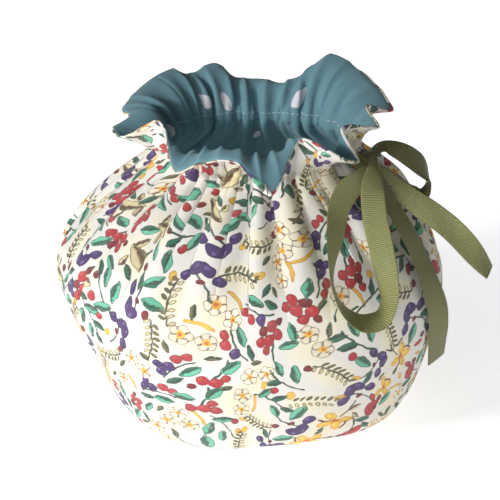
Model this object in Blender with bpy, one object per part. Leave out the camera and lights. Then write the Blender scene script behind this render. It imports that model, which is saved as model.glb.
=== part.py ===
"""A drawstring tea cosy in the shape it holds on the table.

Eight cut pieces of cloth make it: four printed gores (front, back and one for each side) and a
plain lining gore behind each. Every gore runs from the hem, which is turned in flat on the table,
up over the belly and the gathered shoulder to the drawn-in neck, and on into the ruffle above it.
The side gores are slit for a spout and a handle. A ribbon bow closes the neck.

Every cloth point comes from one surface, the seam face between the printed cloth and its lining,
which is worked out from the tables below. Lengths in the tables are millimetres, angles degrees.
X points toward the handle slot, the front is at -Y, and the hem stands on z = 0.
"""
import math

import bmesh
import bpy
import numpy as np

MM = 0.001
COLLECTION = "tea_cosy"

# The neck's axis stands this far from the middle of the whole, which the long ribbon end widens.
AXIS_X = -6.8
AXIS_Y = 4.2

# The lining's thickness, and the gap where two pieces meet.
LINING_THICK = 1.0
PIECE_GAP = 0.3

# A row for each height of the cloth, from the inner edge of the turned hem to the drawn-in neck:
# height, reach of the seam face from the neck's axis in four directions, half the width of a side
# gore as an angle, how far the pleats stand out, and the printed cloth's thickness.
BODY_COLUMNS = ("z", "spout", "handle", "front", "back", "gore", "pleat", "thick")
BODY = (
    (3.13, 57.0, 59.0, 52.0, 54.0, 16.0, 0.0, 3.0),
    (3.0, 64.0, 66.5, 59.0, 61.0, 16.0, 0.0, 3.0),
    (7.0, 71.0, 74.5, 66.0, 68.0, 16.0, 0.0, 3.0),
    (15.0, 77.0, 81.0, 72.0, 74.0, 17.0, 0.0, 3.0),
    (29.0, 83.0, 86.5, 79.0, 80.0, 20.0, 0.0, 3.0),
    (45.0, 89.5, 91.0, 86.0, 87.0, 25.0, 0.0, 3.0),
    (62.0, 98.0, 94.5, 91.0, 91.5, 29.0, 0.0, 3.0),
    (79.0, 103.0, 95.0, 93.0, 93.0, 31.0, 0.0, 3.0),
    (92.0, 101.5, 91.5, 91.0, 91.0, 33.0, 0.6, 3.0),
    (103.0, 94.0, 86.0, 85.5, 86.0, 35.0, 1.3, 2.8),
    (113.0, 84.0, 79.5, 79.0, 79.5, 37.0, 1.9, 2.4),
    (123.0, 73.0, 72.0, 71.5, 72.0, 39.0, 2.3, 2.0),
    (132.0, 63.5, 63.5, 63.0, 63.0, 41.0, 2.4, 1.7),
    (139.0, 56.0, 56.0, 55.5, 55.5, 42.0, 2.1, 1.5),
    (145.0, 50.5, 50.5, 50.0, 50.0, 42.0, 1.4, 1.2),
)
NECK_ROW = len(BODY) - 1

# Below this row there are no pleats, so the mesh has half as many upright lines.
SMOOTH_ROW = 8

# Power of the ellipse that joins the four reaches: 2 would be round.
SQUARENESS = 2.15

# The foot of the body is uneven: how much farther out it stands by direction (-90 is the front).
FOOT = (
    (-150.0, 1.0),
    (-118.0, 6.0),
    (-90.0, -1.5),
    (-60.0, -3.0),
    (-35.0, 1.5),
    (0.0, 0.0),
    (90.0, 0.0),
    (180.0, 0.0),
)
FOOT_ROWS = 6.0

# The ruffle's rim: a row for each crest, fold and tip, in order round the neck from its left tip.
# "lift" is how high above the neck the cloth is still rising before it bends over.
RIM_COLUMNS = ("x", "y", "z", "lift")
RIM = (
    (-75.0, -6.0, 155.5, 20.0),
    (-67.0, -21.0, 156.0, 16.0),
    (-50.0, -26.0, 166.0, 14.0),
    (-43.0, -57.0, 152.0, 18.0),
    (-31.0, -61.0, 160.0, 24.0),
    (-11.0, -67.0, 163.0, 24.0),
    (6.0, -73.0, 149.0, 26.0),
    (20.0, -51.0, 168.0, 24.0),
    (38.0, -62.0, 153.0, 16.0),
    (51.0, -51.0, 153.0, 10.0),
    (41.0, -39.0, 166.0, 12.0),
    (61.0, -21.0, 160.0, 14.0),
    (57.0, 7.0, 164.0, 14.0),
    (72.0, 22.0, 157.0, 16.0),
    (64.5, 41.0, 166.0, 22.0),
    (56.0, 51.0, 171.0, 24.0),
    (41.0, 62.0, 177.0, 26.0),
    (28.0, 65.0, 166.0, 22.0),
    (16.0, 62.0, 159.5, 20.0),
    (1.0, 67.0, 161.0, 20.0),
    (-12.0, 68.0, 162.5, 20.0),
    (-24.0, 71.0, 170.0, 22.0),
    (-38.0, 61.0, 166.0, 20.0),
    (-48.0, 58.0, 169.5, 22.0),
    (-61.0, 43.0, 165.5, 20.0),
    (-68.0, 31.0, 162.0, 20.0),
    (-72.0, 17.0, 158.0, 20.0),
    (-67.0, 5.0, 158.0, 20.0),
)
RUFFLE_ROWS = 5
RUFFLE_THICK = 1.0

# How far toward the rim the ruffle's bend lies, and how much of the angle between two rim rows is
# shared out by the rim's length, where 0 is straight in from the rim.
RUFFLE_LEAN = 0.15
EVEN_SHARE = 0.4

# The gores: the angles each lies between, whether the seam angle is added there or taken off, how
# many pleats it is drawn into, and its slit: its lowest row, its highest row and its widest gap.
COLUMNS_PER_PLEAT = 4
GORES = {
    "front": {"from": 180.0, "to": 360.0, "sign": 1.0, "pleats": 7, "slit": None},
    "handle_side": {"from": 0.0, "to": 0.0, "sign": -1.0, "pleats": 5, "slit": (5.0, 11.0, 20.0)},
    "back": {"from": 0.0, "to": 180.0, "sign": 1.0, "pleats": 7, "slit": None},
    "spout_side": {"from": 180.0, "to": 180.0, "sign": -1.0, "pleats": 5, "slit": (5.0, 10.0, 24.0)},
}
CROWDED_PLACES = 3
PLEAT_CROWDING = 0.25
PLEAT_UNEVEN = 0.3
PLEAT_STRIDE = 2.7

# The ribbon bow: half-inch grosgrain, with the knot at the neck and four runs out of it.
RIBBON_WIDTH = 12.7
RIBBON_THICK = 1.0
KNOT_CENTRE = (57.8, -24.5, 144.8)
KNOT_SIZE = (11.4, 14.0, 12.0)
KNOT_TURN = -23.0

# Each run's middle line from the neck's axis, and the direction across the ribbon there: "turn"
# is its angle round Z from +X, and "tilt" how far it points up.
RUN_COLUMNS = ("x", "y", "z", "turn", "tilt")
RUNS = {
    "hanging_loop": (
        (60.5, -25.0, 143.0, -20.0, -30.0),
        (54.5, -41.0, 142.0, -12.0, -30.0),
        (44.5, -54.5, 138.5, 8.0, -28.0),
        (39.0, -65.0, 132.5, 25.0, -20.0),
        (36.5, -76.0, 124.0, 48.0, -12.0),
        (34.5, -86.0, 115.0, 72.0, -6.0),
        (35.0, -94.0, 105.0, 88.0, 0.0),
        (40.0, -98.0, 95.0, 92.0, 10.0),
        (49.0, -97.5, 88.0, 92.0, 22.0),
        (58.5, -93.0, 88.5, 98.0, 22.0),
        (62.5, -88.0, 96.0, 120.0, 10.0),
        (61.5, -82.0, 106.0, 145.0, 3.0),
        (59.0, -75.0, 117.5, 160.0, 5.0),
        (57.0, -65.0, 129.0, 163.0, 14.0),
        (58.0, -52.0, 139.5, 161.0, 24.0),
        (61.0, -38.0, 145.0, 159.0, 30.0),
        (62.0, -25.0, 146.5, 158.0, 30.0),
    ),
    "side_loop": (
        (60.5, -25.5, 146.0, 150.0, 0.0),
        (64.0, -16.5, 148.0, 125.0, 5.0),
        (69.0, -12.5, 148.0, 100.0, 10.0),
        (76.5, -12.0, 145.0, 90.0, 10.0),
        (84.0, -13.0, 139.0, 90.0, 10.0),
        (88.5, -14.0, 131.0, 90.0, 10.0),
        (87.0, -15.0, 125.0, 90.0, 10.0),
        (81.5, -16.0, 126.0, 90.0, 10.0),
        (76.0, -17.0, 131.5, 90.0, 10.0),
        (70.0, -18.5, 137.0, 95.0, 8.0),
        (65.0, -21.0, 141.0, 108.0, 5.0),
        (60.5, -24.5, 143.5, 125.0, 0.0),
    ),
    "hanging_end": (
        (60.5, -26.0, 144.0, -20.0, -30.0),
        (63.5, -38.0, 139.5, 15.0, -22.0),
        (68.0, -47.0, 130.0, 42.0, -10.0),
        (74.0, -52.5, 118.0, 48.0, -4.0),
        (80.0, -56.0, 105.0, 45.0, 0.0),
        (85.5, -58.0, 91.0, 38.0, 0.0),
        (90.0, -55.0, 77.0, 32.0, 0.0),
        (92.0, -48.5, 63.0, 32.0, 0.0),
        (92.8, -41.0, 50.0, 38.0, 0.0),
        (93.5, -34.0, 38.0, 44.0, 0.0),
    ),
    "side_end": (
        (60.8, -25.5, 144.0, 45.0, 58.0),
        (66.5, -30.0, 140.0, 38.0, 54.0),
        (73.5, -32.0, 133.0, 25.0, 52.0),
        (82.0, -34.0, 125.5, 20.0, 55.0),
        (90.5, -38.0, 119.5, 20.0, 52.0),
        (98.5, -42.0, 113.0, 20.0, 48.0),
        (107.0, -45.0, 104.0, 32.0, 34.0),
        (116.5, -46.0, 92.5, 66.0, 10.0),
    ),
}
SECTIONS_PER_ROW = 2
KNOT_SEGMENTS = 16
KNOT_RINGS = 8

# Edges that turn by more than this stay sharp.
SHARP_ANGLE = 50.0

# The step for slopes taken as differences, and how near two grid places count as the same.
SLOPE_STEP = 1e-4
NEAR = 1e-4

# Each cloth's colour and roughness.
PRINTED_COTTON = ((0.80, 0.76, 0.68), 0.85)
LINING_COTTON = ((0.10, 0.21, 0.24), 0.85)
GROSGRAIN = ((0.25, 0.29, 0.10), 0.6)


def through(values, at):
    """Smooth curve through evenly spaced values (Catmull-Rom), read at row numbers."""
    values = np.asarray(values, dtype=float)
    row = np.clip(np.floor(at).astype(int), 0, len(values) - 2)
    part = (at - row)[..., None] if values.ndim > 1 else at - row
    before = values[np.maximum(row - 1, 0)]
    here = values[row]
    after = values[row + 1]
    beyond = values[np.minimum(row + 2, len(values) - 1)]
    slope_in = (after - before) / 2
    slope_out = (beyond - here) / 2
    return (here * (1 + 2 * part) * (1 - part) ** 2 + slope_in * part * (1 - part) ** 2
            + after * part ** 2 * (3 - 2 * part) + slope_out * part ** 2 * (part - 1))


def body_column(name, row):
    """One named column of the body's table at fractional rows."""
    table = np.array(BODY)
    return through(table[:, BODY_COLUMNS.index(name)], np.minimum(row, NECK_ROW))


def rim_turns():
    """Angle at the neck of each rim row, between straight in from the rim and an even sharing of
    the cloth by the rim's own length."""
    rim = np.array(RIM)
    steps = np.linalg.norm(np.roll(rim[:, :3], -1, axis=0) - rim[:, :3], axis=1)
    turns = 360.0 * np.concatenate(([0.0], np.cumsum(steps)[:-1])) / steps.sum()
    seen = np.degrees(np.unwrap(np.arctan2(rim[:, 1], rim[:, 0])))
    return seen + EVEN_SHARE * (turns + np.mean(seen - turns) - seen)


def around(turns, values, at):
    """Smooth closed curve through values that stand at given angles, read at other angles."""
    turns = np.asarray(turns, dtype=float)
    values = np.asarray(values, dtype=float)
    count = len(turns)
    at = turns[0] + np.mod(at - turns[0], 360.0)
    index = np.searchsorted(turns, at, side="right") - 1
    far = np.concatenate((turns - 360.0, turns, turns + 360.0, turns + 720.0))
    wide = np.concatenate((values, values, values, values))
    here = index + count
    gap = far[here + 1] - far[here]
    part = (at - far[here]) / gap

    def slope(i):
        reach = (far[i + 1] - far[i - 1])
        return (wide[i + 1] - wide[i - 1]) / (reach[:, None] if values.ndim > 1 else reach)

    if values.ndim > 1:
        part = part[:, None]
        gap = gap[:, None]
    return (wide[here] * (1 + 2 * part) * (1 - part) ** 2 + slope(here) * gap * part * (1 - part) ** 2
            + wide[here + 1] * part ** 2 * (3 - 2 * part) + slope(here + 1) * gap * part ** 2 * (part - 1))


def across(x):
    """Share of the gore's width at column share x: the pleats are a little crowded in places."""
    waves = 2 * math.pi * CROWDED_PLACES
    return x + PLEAT_CROWDING * np.sin(waves * x) / waves


def ripple(gore, x):
    """Pleats across a gore: -1 in the grooves and about +1 on the crests, unevenly deep."""
    pleat = x * gore["pleats"]
    depth = 1 + PLEAT_UNEVEN * np.sin(PLEAT_STRIDE * np.floor(pleat) + gore["from"])
    return depth * (1 - np.cos(2 * math.pi * pleat)) - 1


def turn_at(gore, x, row, side):
    """Angle round the neck's axis at column share x of a gore, with its slit held open."""
    half = body_column("gore", row) * gore["sign"]
    first = gore["from"] + half
    last = gore["to"] - half
    share = across(x)
    if gore["slit"] is None:
        return first + share * (last - first)
    low, high, gap = gore["slit"]
    middle = (first + last) / 2
    reach = body_column("spout" if gore["from"] else "handle", row)
    open_part = np.clip((row - low) / (high - low), 0, 1)
    held = np.degrees(gap / 2 / reach) * np.sin(math.pi * open_part)
    near = first + 2 * share * (middle - held - first)
    far = middle + held + (2 * share - 1) * (last - middle - held)
    return np.where(side < 0, near, far)


def body_point(turn, row, wave):
    """A point of the seam face below the neck: four reaches joined by a squared-off ellipse."""
    angle = np.radians(turn)
    along = np.cos(angle)
    over = np.sin(angle)
    reach_x = np.where(along < 0, body_column("spout", row), body_column("handle", row))
    reach_y = np.where(over < 0, body_column("front", row), body_column("back", row))
    radius = (np.abs(along / reach_x) ** SQUARENESS
              + np.abs(over / reach_y) ** SQUARENESS) ** (-1 / SQUARENESS)
    foot = np.array(FOOT)
    uneven = around(foot[:, 0], foot[:, 1], turn) * np.clip(1 - row / FOOT_ROWS, 0, 1)
    radius = radius + uneven + body_column("pleat", row) * wave
    return np.stack((radius * along, radius * over, body_column("z", row)), axis=-1)


def ruffle_point(turn, row, wave):
    """A point above the neck: each column rises from the neck, then bends over to its rim point."""
    part = ((row - NECK_ROW) / RUFFLE_ROWS)[:, None]
    start = body_point(turn, np.full_like(row, NECK_ROW), wave)
    even = body_point(turn, np.full_like(row, NECK_ROW), np.zeros_like(wave))
    end = around(rim_turns(), np.array(RIM), turn)
    bend = even + RUFFLE_LEAN * (end[:, :3] - even)
    bend[:, 2] = even[:, 2] + end[:, RIM_COLUMNS.index("lift")]
    bend = bend + (start - even) * (1 - part)
    return (1 - part) ** 2 * start + 2 * part * (1 - part) * bend + part ** 2 * end[:, :3]


def seam_face(gore, x, row, side):
    """The face between printed cloth and lining, at column share x and row of a gore."""
    turn = turn_at(gore, x, row, side)
    wave = ripple(gore, x)
    low = body_point(turn, np.minimum(row, NECK_ROW), wave)
    high = ruffle_point(turn, np.maximum(row, NECK_ROW), wave)
    return np.where((row > NECK_ROW)[:, None], high, low)


def cloth_points(gore, x, row, side, depth):
    """Points at a depth off the seam face (outward is positive), kept clear of the side seams."""
    base = seam_face(gore, x, row, side)
    run = seam_face(gore, x + SLOPE_STEP, row, side) - seam_face(gore, x - SLOPE_STEP, row, side)
    top = NECK_ROW + RUFFLE_ROWS
    rise = (seam_face(gore, x, np.minimum(row + SLOPE_STEP, top), side)
            - seam_face(gore, x, np.maximum(row - SLOPE_STEP, 0), side))
    run /= np.linalg.norm(run, axis=1)[:, None]
    out = np.cross(run, rise)
    out /= np.linalg.norm(out, axis=1)[:, None]
    inset = np.where(x <= 0, 1.0, 0.0) - np.where(x >= 1, 1.0, 0.0)
    points = base + out * depth[:, None] + run * (inset * PIECE_GAP / 2)[:, None]
    points[:, 2] = np.maximum(points[:, 2], 0.0)
    return points


def flat_slab(columns, rows, slit_rows=None, thin_row=0):
    """A closed slab over the unit square: x runs across, y up, z is 0 or 1 through its thickness.
    Below thin_row it has half as many upright lines."""
    cell = bmesh.new()
    bmesh.ops.create_grid(cell, x_segments=columns, y_segments=rows, size=0.5)
    for vert in cell.verts:
        vert.co.x += 0.5
        vert.co.y += 0.5
    if thin_row:
        spare = [edge for edge in cell.edges if is_spare(edge, columns, rows, thin_row)]
        bmesh.ops.dissolve_edges(cell, edges=spare, use_verts=True)
    if slit_rows:
        low, high = (line / rows for line in slit_rows)
        cut = [edge for edge in cell.edges
               if all(abs(vert.co.x - 0.5) < NEAR for vert in edge.verts)
               and low - NEAR < min(vert.co.y for vert in edge.verts)
               and max(vert.co.y for vert in edge.verts) < high + NEAR]
        bmesh.ops.split_edges(cell, edges=cut)
    bmesh.ops.solidify(cell, geom=cell.faces[:], thickness=1.0)
    return cell


def is_spare(edge, columns, rows, thin_row):
    """True for every second upright grid line below thin_row, where the cloth has no pleats."""
    first, second = (vert.co for vert in edge.verts)
    line = round(first.x * columns)
    upright = abs(first.x - second.x) < NEAR
    return upright and line % 2 == 1 and max(first.y, second.y) - thin_row / rows < NEAR


def side_of_slit(vert):
    """-1 for a vertex that belongs to the half before the slit, +1 for the half after it."""
    middle = sum(face.calc_center_median().x for face in vert.link_faces) / len(vert.link_faces)
    return -1.0 if middle < 0.5 else 1.0


def make_gore(name, gore, layer, material, collection):
    """One cut piece of cloth: a slab bent onto the seam face, outside it or inside it."""
    columns = gore["pleats"] * COLUMNS_PER_PLEAT
    rows = NECK_ROW + RUFFLE_ROWS
    slit_rows = gore["slit"] and gore["slit"][:2]
    cell = flat_slab(columns, rows, slit_rows, SMOOTH_ROW)
    flat = np.array([vert.co for vert in cell.verts], dtype=float)
    side = np.array([side_of_slit(vert) for vert in cell.verts])
    x = np.round(flat[:, 0] * columns) / columns
    row = np.round(flat[:, 1] * rows)
    face = (np.abs(flat[:, 2]) > 0.5).astype(float)
    if layer == "outer":
        thick = np.where(row > NECK_ROW, RUFFLE_THICK, body_column("thick", row))
        depth = PIECE_GAP / 2 + face * thick
    else:
        depth = -PIECE_GAP / 2 - face * LINING_THICK
    points = cloth_points(gore, x, row, side, depth)
    points += np.array((AXIS_X, AXIS_Y, 0.0))
    for vert, point in zip(cell.verts, points * MM):
        vert.co = point
    return finish(cell, name, material, collection)


def make_run(name, rows, material, collection):
    """One run of ribbon: a slab one cell wide, swept along the smooth line through its rows."""
    sections = (len(rows) - 1) * SECTIONS_PER_ROW
    cell = flat_slab(1, sections)
    flat = np.array([vert.co for vert in cell.verts], dtype=float)
    table = np.array(rows)
    along = np.round(flat[:, 1] * sections) / SECTIONS_PER_ROW
    here = through(table, along)
    ahead = through(table, np.minimum(along + SLOPE_STEP, len(rows) - 1))
    behind = through(table, np.maximum(along - SLOPE_STEP, 0))
    run = (ahead - behind)[:, :3]
    run /= np.linalg.norm(run, axis=1)[:, None]
    turn = np.radians(here[:, RUN_COLUMNS.index("turn")])
    tilt = np.radians(here[:, RUN_COLUMNS.index("tilt")])
    wide = np.stack((np.cos(turn) * np.cos(tilt), np.sin(turn) * np.cos(tilt), np.sin(tilt)), axis=-1)
    wide -= np.sum(wide * run, axis=1)[:, None] * run
    wide /= np.linalg.norm(wide, axis=1)[:, None]
    out = np.cross(run, wide)
    points = (here[:, :3] + wide * (RIBBON_WIDTH * (flat[:, 0] - 0.5))[:, None]
              + out * (RIBBON_THICK * (np.abs(flat[:, 2]) - 0.5))[:, None])
    points += np.array((AXIS_X, AXIS_Y, 0.0))
    for vert, point in zip(cell.verts, points * MM):
        vert.co = point
    return finish(cell, name, material, collection)


def make_bow(material, collection, makings):
    """The ribbon bow: its knot, with the four runs joined into it."""
    cell = bmesh.new()
    bmesh.ops.create_uvsphere(cell, u_segments=KNOT_SEGMENTS, v_segments=KNOT_RINGS, radius=0.5)
    size = np.array(KNOT_SIZE) * MM
    for vert in cell.verts:
        vert.co.x *= size[0]
        vert.co.y *= size[1]
        vert.co.z *= size[2]
    bow = finish(cell, "ribbon_bow", material, collection)
    bow.location = (np.array(KNOT_CENTRE) + np.array((AXIS_X, AXIS_Y, 0.0))) * MM
    bow.rotation_euler.z = math.radians(KNOT_TURN)
    for name, rows in RUNS.items():
        run = make_run("run_" + name, rows, material, makings)
        run.hide_render = True
        run.display_type = "WIRE"
        joint = bow.modifiers.new("join_" + name, "BOOLEAN")
        joint.operation = "UNION"
        joint.solver = "EXACT"
        joint.object = run
    return bow


def finish(cell, name, material, collection):
    """Turn a bmesh into a named, smooth-shaded object in the object's collection."""
    bmesh.ops.recalc_face_normals(cell, faces=cell.faces[:])
    if cell.calc_volume(signed=True) < 0:
        bmesh.ops.reverse_faces(cell, faces=cell.faces[:])
    mesh = bpy.data.meshes.new(name)
    cell.to_mesh(mesh)
    cell.free()
    mesh.shade_smooth()
    mesh.set_sharp_from_angle(angle=math.radians(SHARP_ANGLE))
    mesh.materials.append(material)
    made = bpy.data.objects.new(name, mesh)
    collection.objects.link(made)
    return made


def make_material(name, cloth):
    """A plain material of a cloth's colour and roughness."""
    colour, roughness = cloth
    material = bpy.data.materials.new(name)
    material.use_nodes = True
    shader = material.node_tree.nodes["Principled BSDF"]
    shader.inputs["Base Color"].default_value = (*colour, 1.0)
    shader.inputs["Roughness"].default_value = roughness
    shader.inputs["Metallic"].default_value = 0.0
    return material


def main():
    for old in list(bpy.data.objects):
        bpy.data.objects.remove(old)
    collection = bpy.data.collections.new(COLLECTION)
    makings = bpy.data.collections.new("makings")
    bpy.context.scene.collection.children.link(collection)
    bpy.context.scene.collection.children.link(makings)
    printed = make_material("printed_cotton", PRINTED_COTTON)
    plain = make_material("lining_cotton", LINING_COTTON)
    ribbon = make_material("grosgrain_ribbon", GROSGRAIN)
    for name, gore in GORES.items():
        make_gore("outer_" + name, gore, "outer", printed, collection)
        make_gore("lining_" + name, gore, "lining", plain, collection)
    make_bow(ribbon, collection, makings)


main()
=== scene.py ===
"""The drawstring tea cosy, dressed.

Four printed gores and four plain lining gores are laid on one face, the seam face between them.
It comes from the solids' tables, a little changed at the neck and the front of the rim: a body that
bulges over the hem, pleats that deepen toward the drawn neck, and a ruffle that rises from the neck
and bends over to its rim.
The print is painted in the flat cloth's millimetres, motif by motif, and carried by attributes.
Lengths in the tables are millimetres and angles are degrees, measured from the neck's axis.
"""
import math

import bpy
import numpy as np
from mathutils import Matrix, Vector


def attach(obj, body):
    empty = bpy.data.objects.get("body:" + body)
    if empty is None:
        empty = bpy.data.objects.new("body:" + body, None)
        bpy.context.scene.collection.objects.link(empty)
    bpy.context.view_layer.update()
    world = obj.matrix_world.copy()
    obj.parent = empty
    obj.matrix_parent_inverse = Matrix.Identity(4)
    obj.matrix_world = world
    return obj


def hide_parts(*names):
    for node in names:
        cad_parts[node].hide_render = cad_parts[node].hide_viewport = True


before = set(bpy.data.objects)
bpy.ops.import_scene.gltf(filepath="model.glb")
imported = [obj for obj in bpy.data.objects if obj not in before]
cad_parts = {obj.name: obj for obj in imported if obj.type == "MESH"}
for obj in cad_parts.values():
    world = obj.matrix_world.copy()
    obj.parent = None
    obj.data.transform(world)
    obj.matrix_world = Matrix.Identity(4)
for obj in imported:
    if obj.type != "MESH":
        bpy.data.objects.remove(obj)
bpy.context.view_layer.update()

MM = 0.001
AXIS = np.array((-6.8, 4.2, 0.0))

# The body by height: reach of the seam face in four directions, half-width of a side gore as an
# angle, how far the pleats stand out, and the printed cloth's thickness with its wadding.
BODY_COLUMNS = ("z", "spout", "handle", "front", "back", "gore", "pleat", "thick")
BODY = (
    (3.13, 57, 59, 52, 54, 16, 0, 3),
    (3, 64, 66.5, 59, 61, 16, 0, 3),
    (7, 71, 74.5, 66, 68, 16, 0, 3),
    (15, 77, 81, 72, 74, 17, 0, 3),
    (29, 83, 86.5, 79, 80, 20, 0, 3),
    (45, 89.5, 91, 86, 87, 25, 0, 3),
    (62, 98, 94.5, 91, 91.5, 29, 0, 3),
    (79, 103, 95, 93, 93, 31, 0, 3),
    (92, 101.5, 91.5, 91, 91, 33, 0.6, 3),
    (103, 94, 86, 85.5, 86, 35, 1.3, 2.8),
    (113, 84, 79.5, 79, 79.5, 37, 1.9, 2.4),
    (123, 73, 72, 71.5, 72, 39, 2.3, 2),
    (132, 61.5, 62, 61, 61, 41, 2.4, 1.7),
    (139, 52.5, 53.5, 52.5, 52.5, 42, 2.2, 1.5),
    (145, 49.5, 50, 49, 49, 42, 1.5, 1.2),
)
NECK_ROW = len(BODY) - 1
SQUARENESS = 2.15

# The uneven foot: how much farther out it stands by direction, fading out over FOOT_ROWS.
FOOT = (
    (-150, 1), (-118, 6), (-90, -1.5), (-60, -3), (-35, 1.5), (0, 0), (90, 0), (180, 0),
)
FOOT_ROWS = 6.0

# The ruffle's rim in order round the neck, and how far each place rises before it bends over.
RIM_COLUMNS = ("x", "y", "z", "lift")
RIM = (
    (-75, -6, 155.5, 5), (-67, -21, 156, 4), (-50, -26, 166, 11), (-40, -59, 149.5, 18),
    (-30, -62, 155, 22), (-11, -67, 157.5, 22), (6, -76, 144, 24), (20, -51, 163.5, 22),
    (34, -62, 161.5, 10), (49, -51, 153, 8), (41, -39, 166, 12), (61, -21, 160, 14),
    (57, 7, 164, 14), (72, 22, 157, 16), (64.5, 41, 166, 22), (56, 51, 171, 24), (41, 62, 177, 26),
    (28, 65, 166, 22), (16, 62, 159.5, 20), (1, 67, 161, 20), (-12, 68, 162.5, 20),
    (-24, 71, 170, 22), (-38, 61, 166, 20), (-48, 58, 169.5, 22), (-61, 43, 165.5, 20),
    (-68, 31, 162, 20), (-72, 17, 158, 20), (-67, 5, 158, 20),
)
RUFFLE_ROWS = 5
TOP_ROW = NECK_ROW + RUFFLE_ROWS
RUFFLE_THICK = 0.6
RUFFLE_LEAN = 0.15
EVEN_SHARE = 0.4

# How wide the printed cloth turned in at the rim is, at shares of the way across each gore.
FACINGS = {
    "front": ((0, 0.7), (0.4, 0.7), (0.445, 3.4), (0.495, 3.4), (0.53, 1), (0.62, 0.8),
              (0.85, 0.9), (1, 1.6)),
    "handle_side": ((0, 1.6), (0.5, 1.6), (1, 0.7)),
    "back": ((0, 0),),
    "spout_side": ((0, 0.7),),
}

# The gores: the angles each lies between, whether the seam angle is added there or taken off, how
# many pleats, fine gathers and folds it is drawn into, the rows and gap of its slit, and the cells
# across and up of its printed cloth and its lining.
GORE_COLUMNS = ("from", "to", "sign", "pleats", "fine", "folds", "slit", "cells", "lining")
GORE_TABLE = {
    "front": (180, 360, 1, 7, 19, 10, None, (276, 328), (190, 200)),
    "handle_side": (0, 0, -1, 5, 13, 7, (5, 11, 20), (170, 260), (125, 165)),
    "back": (0, 180, 1, 7, 19, 11, None, (230, 270), (190, 200)),
    "spout_side": (180, 180, -1, 5, 13, 7, (5, 10, 24), (170, 260), (125, 165)),
}
GORES = {name: dict(zip(GORE_COLUMNS, row), facing=FACINGS[name])
         for name, row in GORE_TABLE.items()}
CROWDED_PLACES = 3
PLEAT_CROWDING = 0.25
PLEAT_UNEVEN = 0.3
PLEAT_STRIDE = 2.7


# ---------------------------------------------------------------- curves through tables

def cubic(part, here, after, slope_in, slope_out):
    """The cubic between two values that has the given slopes at its ends."""
    return (here * (1 + 2 * part) * (1 - part) ** 2 + slope_in * part * (1 - part) ** 2
            + after * part ** 2 * (3 - 2 * part) + slope_out * part ** 2 * (part - 1))


def through(values, at):
    """Smooth curve through evenly spaced values, at row numbers: Catmull-Rom slopes."""
    values = np.asarray(values, dtype=float)
    row = np.clip(np.floor(at).astype(int), 0, len(values) - 2)
    part = (at - row)[..., None] if values.ndim > 1 else at - row
    here, after = values[row], values[row + 1]
    return cubic(part, here, after, (after - values[np.maximum(row - 1, 0)]) / 2,
                 (values[np.minimum(row + 2, len(values) - 1)] - here) / 2)


def around(turns, values, at):
    """Smooth closed curve through values that stand at given angles, read at other angles."""
    at = turns[0] + np.mod(at - turns[0], 360.0)
    here = np.searchsorted(turns, at, side="right") - 1 + len(turns)
    far = np.concatenate((turns - 360.0, turns, turns + 360.0, turns + 720.0))
    wide = np.concatenate((values, values, values, values))
    fit = (slice(None),) + (None,) * (values.ndim - 1)
    gap = (far[here + 1] - far[here])[fit]

    def slope(i):
        return (wide[i + 1] - wide[i - 1]) / (far[i + 1] - far[i - 1])[fit]

    return cubic((at - far[here])[fit] / gap, wide[here], wide[here + 1],
                 slope(here) * gap, slope(here + 1) * gap)


def ease(low, high, at):
    """0 below low, 1 above high, and a smooth cubic between them."""
    part = np.clip((at - low) / (high - low), 0, 1)
    return part * part * (3 - 2 * part)


def unit(vectors):
    """The same directions, each one unit long."""
    return vectors / np.linalg.norm(vectors, axis=-1, keepdims=True)


def steps_along(line):
    """How far along the line through them each of its points lies."""
    return np.concatenate(([0.0], np.cumsum(np.linalg.norm(np.diff(line, axis=0), axis=1))))


def turned(right, up, turn):
    """A place's distances along and over an axis turned by an angle in radians."""
    return right * np.cos(turn) + up * np.sin(turn), up * np.cos(turn) - right * np.sin(turn)


def tube(number):
    """Quads of a closed tube, whose rings are the rows of a grid of vertex numbers."""
    after = np.roll(number, -1, axis=1)
    return np.stack((number[:-1], number[1:], after[1:], after[:-1]), axis=-1).reshape(-1, 4)


# ---------------------------------------------------------------- the seam face

def body_column(name, row):
    """One named column of the body's table at fractional rows."""
    return through(np.array(BODY)[:, BODY_COLUMNS.index(name)], np.minimum(row, NECK_ROW))


def rim_turns():
    """Angle at the neck of each rim place: straight in from it, and EVEN_SHARE of the way to where
    the rim's own length would put it."""
    rim = np.array(RIM)
    steps = np.linalg.norm(np.roll(rim[:, :3], -1, axis=0) - rim[:, :3], axis=1)
    turns = 360.0 * np.concatenate(([0.0], np.cumsum(steps)[:-1])) / steps.sum()
    straight = np.degrees(np.unwrap(np.arctan2(rim[:, 1], rim[:, 0])))
    return straight + EVEN_SHARE * (turns + np.mean(straight - turns) - straight)


def ripple(gore, x):
    """Pleats across a gore, unevenly deep: depth times (1 - cos) less 1."""
    pleat = x * gore["pleats"]
    depth = 1 + PLEAT_UNEVEN * np.sin(PLEAT_STRIDE * np.floor(pleat) + gore["from"])
    return depth * (1 - np.cos(2 * math.pi * pleat)) - 1


def slit_gap(gore, row):
    """Half the slit's gap at a row: a half sine from its lowest row to its highest."""
    low, high, gap = gore["slit"]
    return gap / 2 * np.sin(math.pi * np.clip((row - low) / (high - low), 0, 1))


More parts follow.
